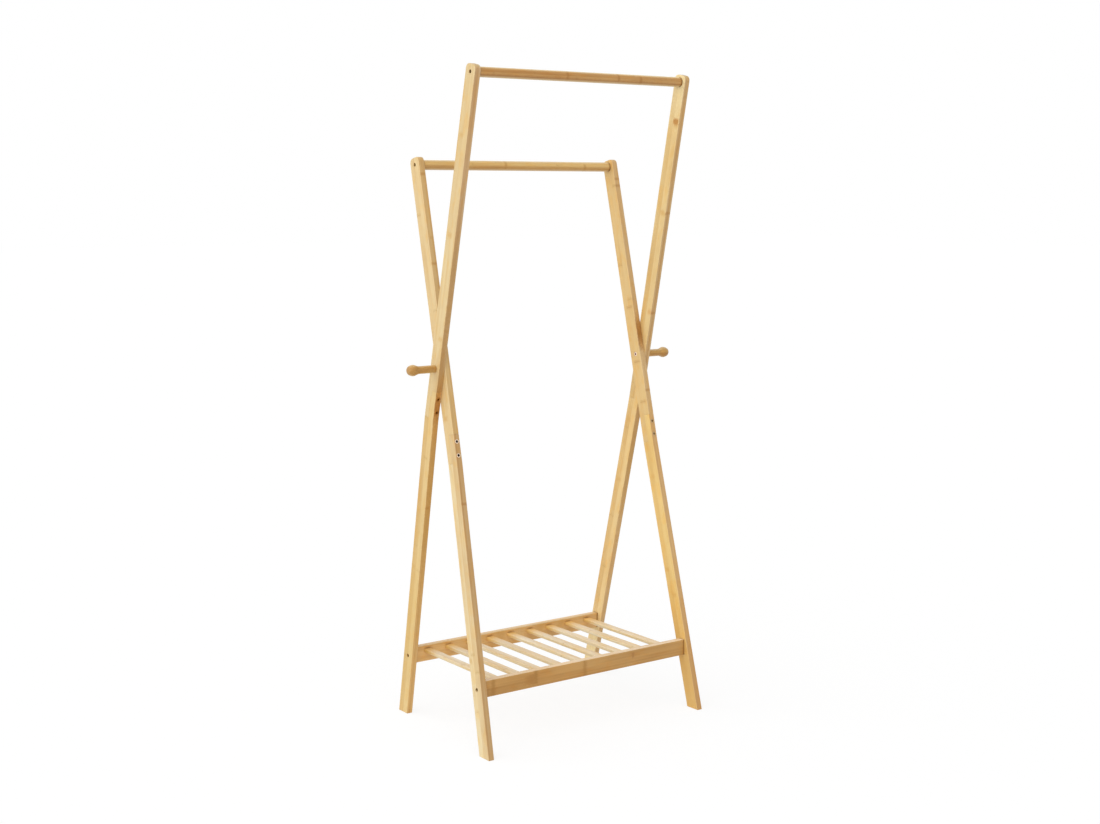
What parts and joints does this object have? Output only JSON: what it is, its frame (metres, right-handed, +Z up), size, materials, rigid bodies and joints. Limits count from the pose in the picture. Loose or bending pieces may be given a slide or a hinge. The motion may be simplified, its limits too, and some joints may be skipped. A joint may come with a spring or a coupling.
{
  "type": "clothes rack",
  "caption": "Free-standing bamboo clothes rack: crossed tall and short legs on each side carry a high and a low hanging rail, a slatted shoe shelf and outward side pegs.",
  "frame": {"origin": "on the floor under the middle of the rack's bounding box", "axes": "+X along the rails to the viewer's right, -Y towards the front where the high rail hangs out, +Z up"},
  "size_m": [0.8436, 0.4738, 1.695],
  "materials": {
    "bamboo": "clear satin lacquer on strip bamboo",
    "bamboo_slat": "clear satin lacquer on pale strip bamboo",
    "zinc_bright": "bright zinc-plated steel",
    "zinc_dark": "dark oiled steel, set deep in its bore"
  },
  "bodies": {
    "root": {"high_hanging_rail": "bamboo", "lap_screw_short_left_bottom": "zinc_bright", "lap_screw_short_left_top": "zinc_bright", "lap_screw_short_right_bottom": "zinc_bright", "lap_screw_short_right_top": "zinc_bright", "lap_screw_tall_left_bottom": "zinc_bright", "lap_screw_tall_left_top": "zinc_bright", "lap_screw_tall_right_bottom": "zinc_bright", "lap_screw_tall_right_top": "zinc_bright", "low_hanging_rail": "bamboo", "peg_left": "bamboo", "peg_right": "bamboo", "peg_screw_left": "zinc_bright", "peg_screw_right": "zinc_bright", "rail_screw_short_left": "zinc_dark", "rail_screw_short_right": "zinc_dark", "rail_screw_tall_left": "zinc_dark", "rail_screw_tall_right": "zinc_dark", "shelf_rail_front": "bamboo", "shelf_rail_rear": "bamboo", "shelf_screw_short_left": "zinc_dark", "shelf_screw_short_right": "zinc_dark", "shelf_screw_tall_left": "zinc_dark", "shelf_screw_tall_right": "zinc_dark", "short_leg_lower_left": "bamboo", "short_leg_lower_right": "bamboo", "short_leg_upper_left": "bamboo", "short_leg_upper_right": "bamboo", "slat_1": "bamboo_slat", "slat_2": "bamboo_slat", "slat_3": "bamboo_slat", "slat_4": "bamboo_slat", "slat_5": "bamboo_slat", "slat_6": "bamboo_slat", "slat_7": "bamboo_slat", "slat_8": "bamboo_slat", "slat_9": "bamboo_slat", "tall_leg_lower_left": "bamboo", "tall_leg_lower_right": "bamboo", "tall_leg_upper_left": "bamboo", "tall_leg_upper_right": "bamboo"}
  },
  "joints": []
}
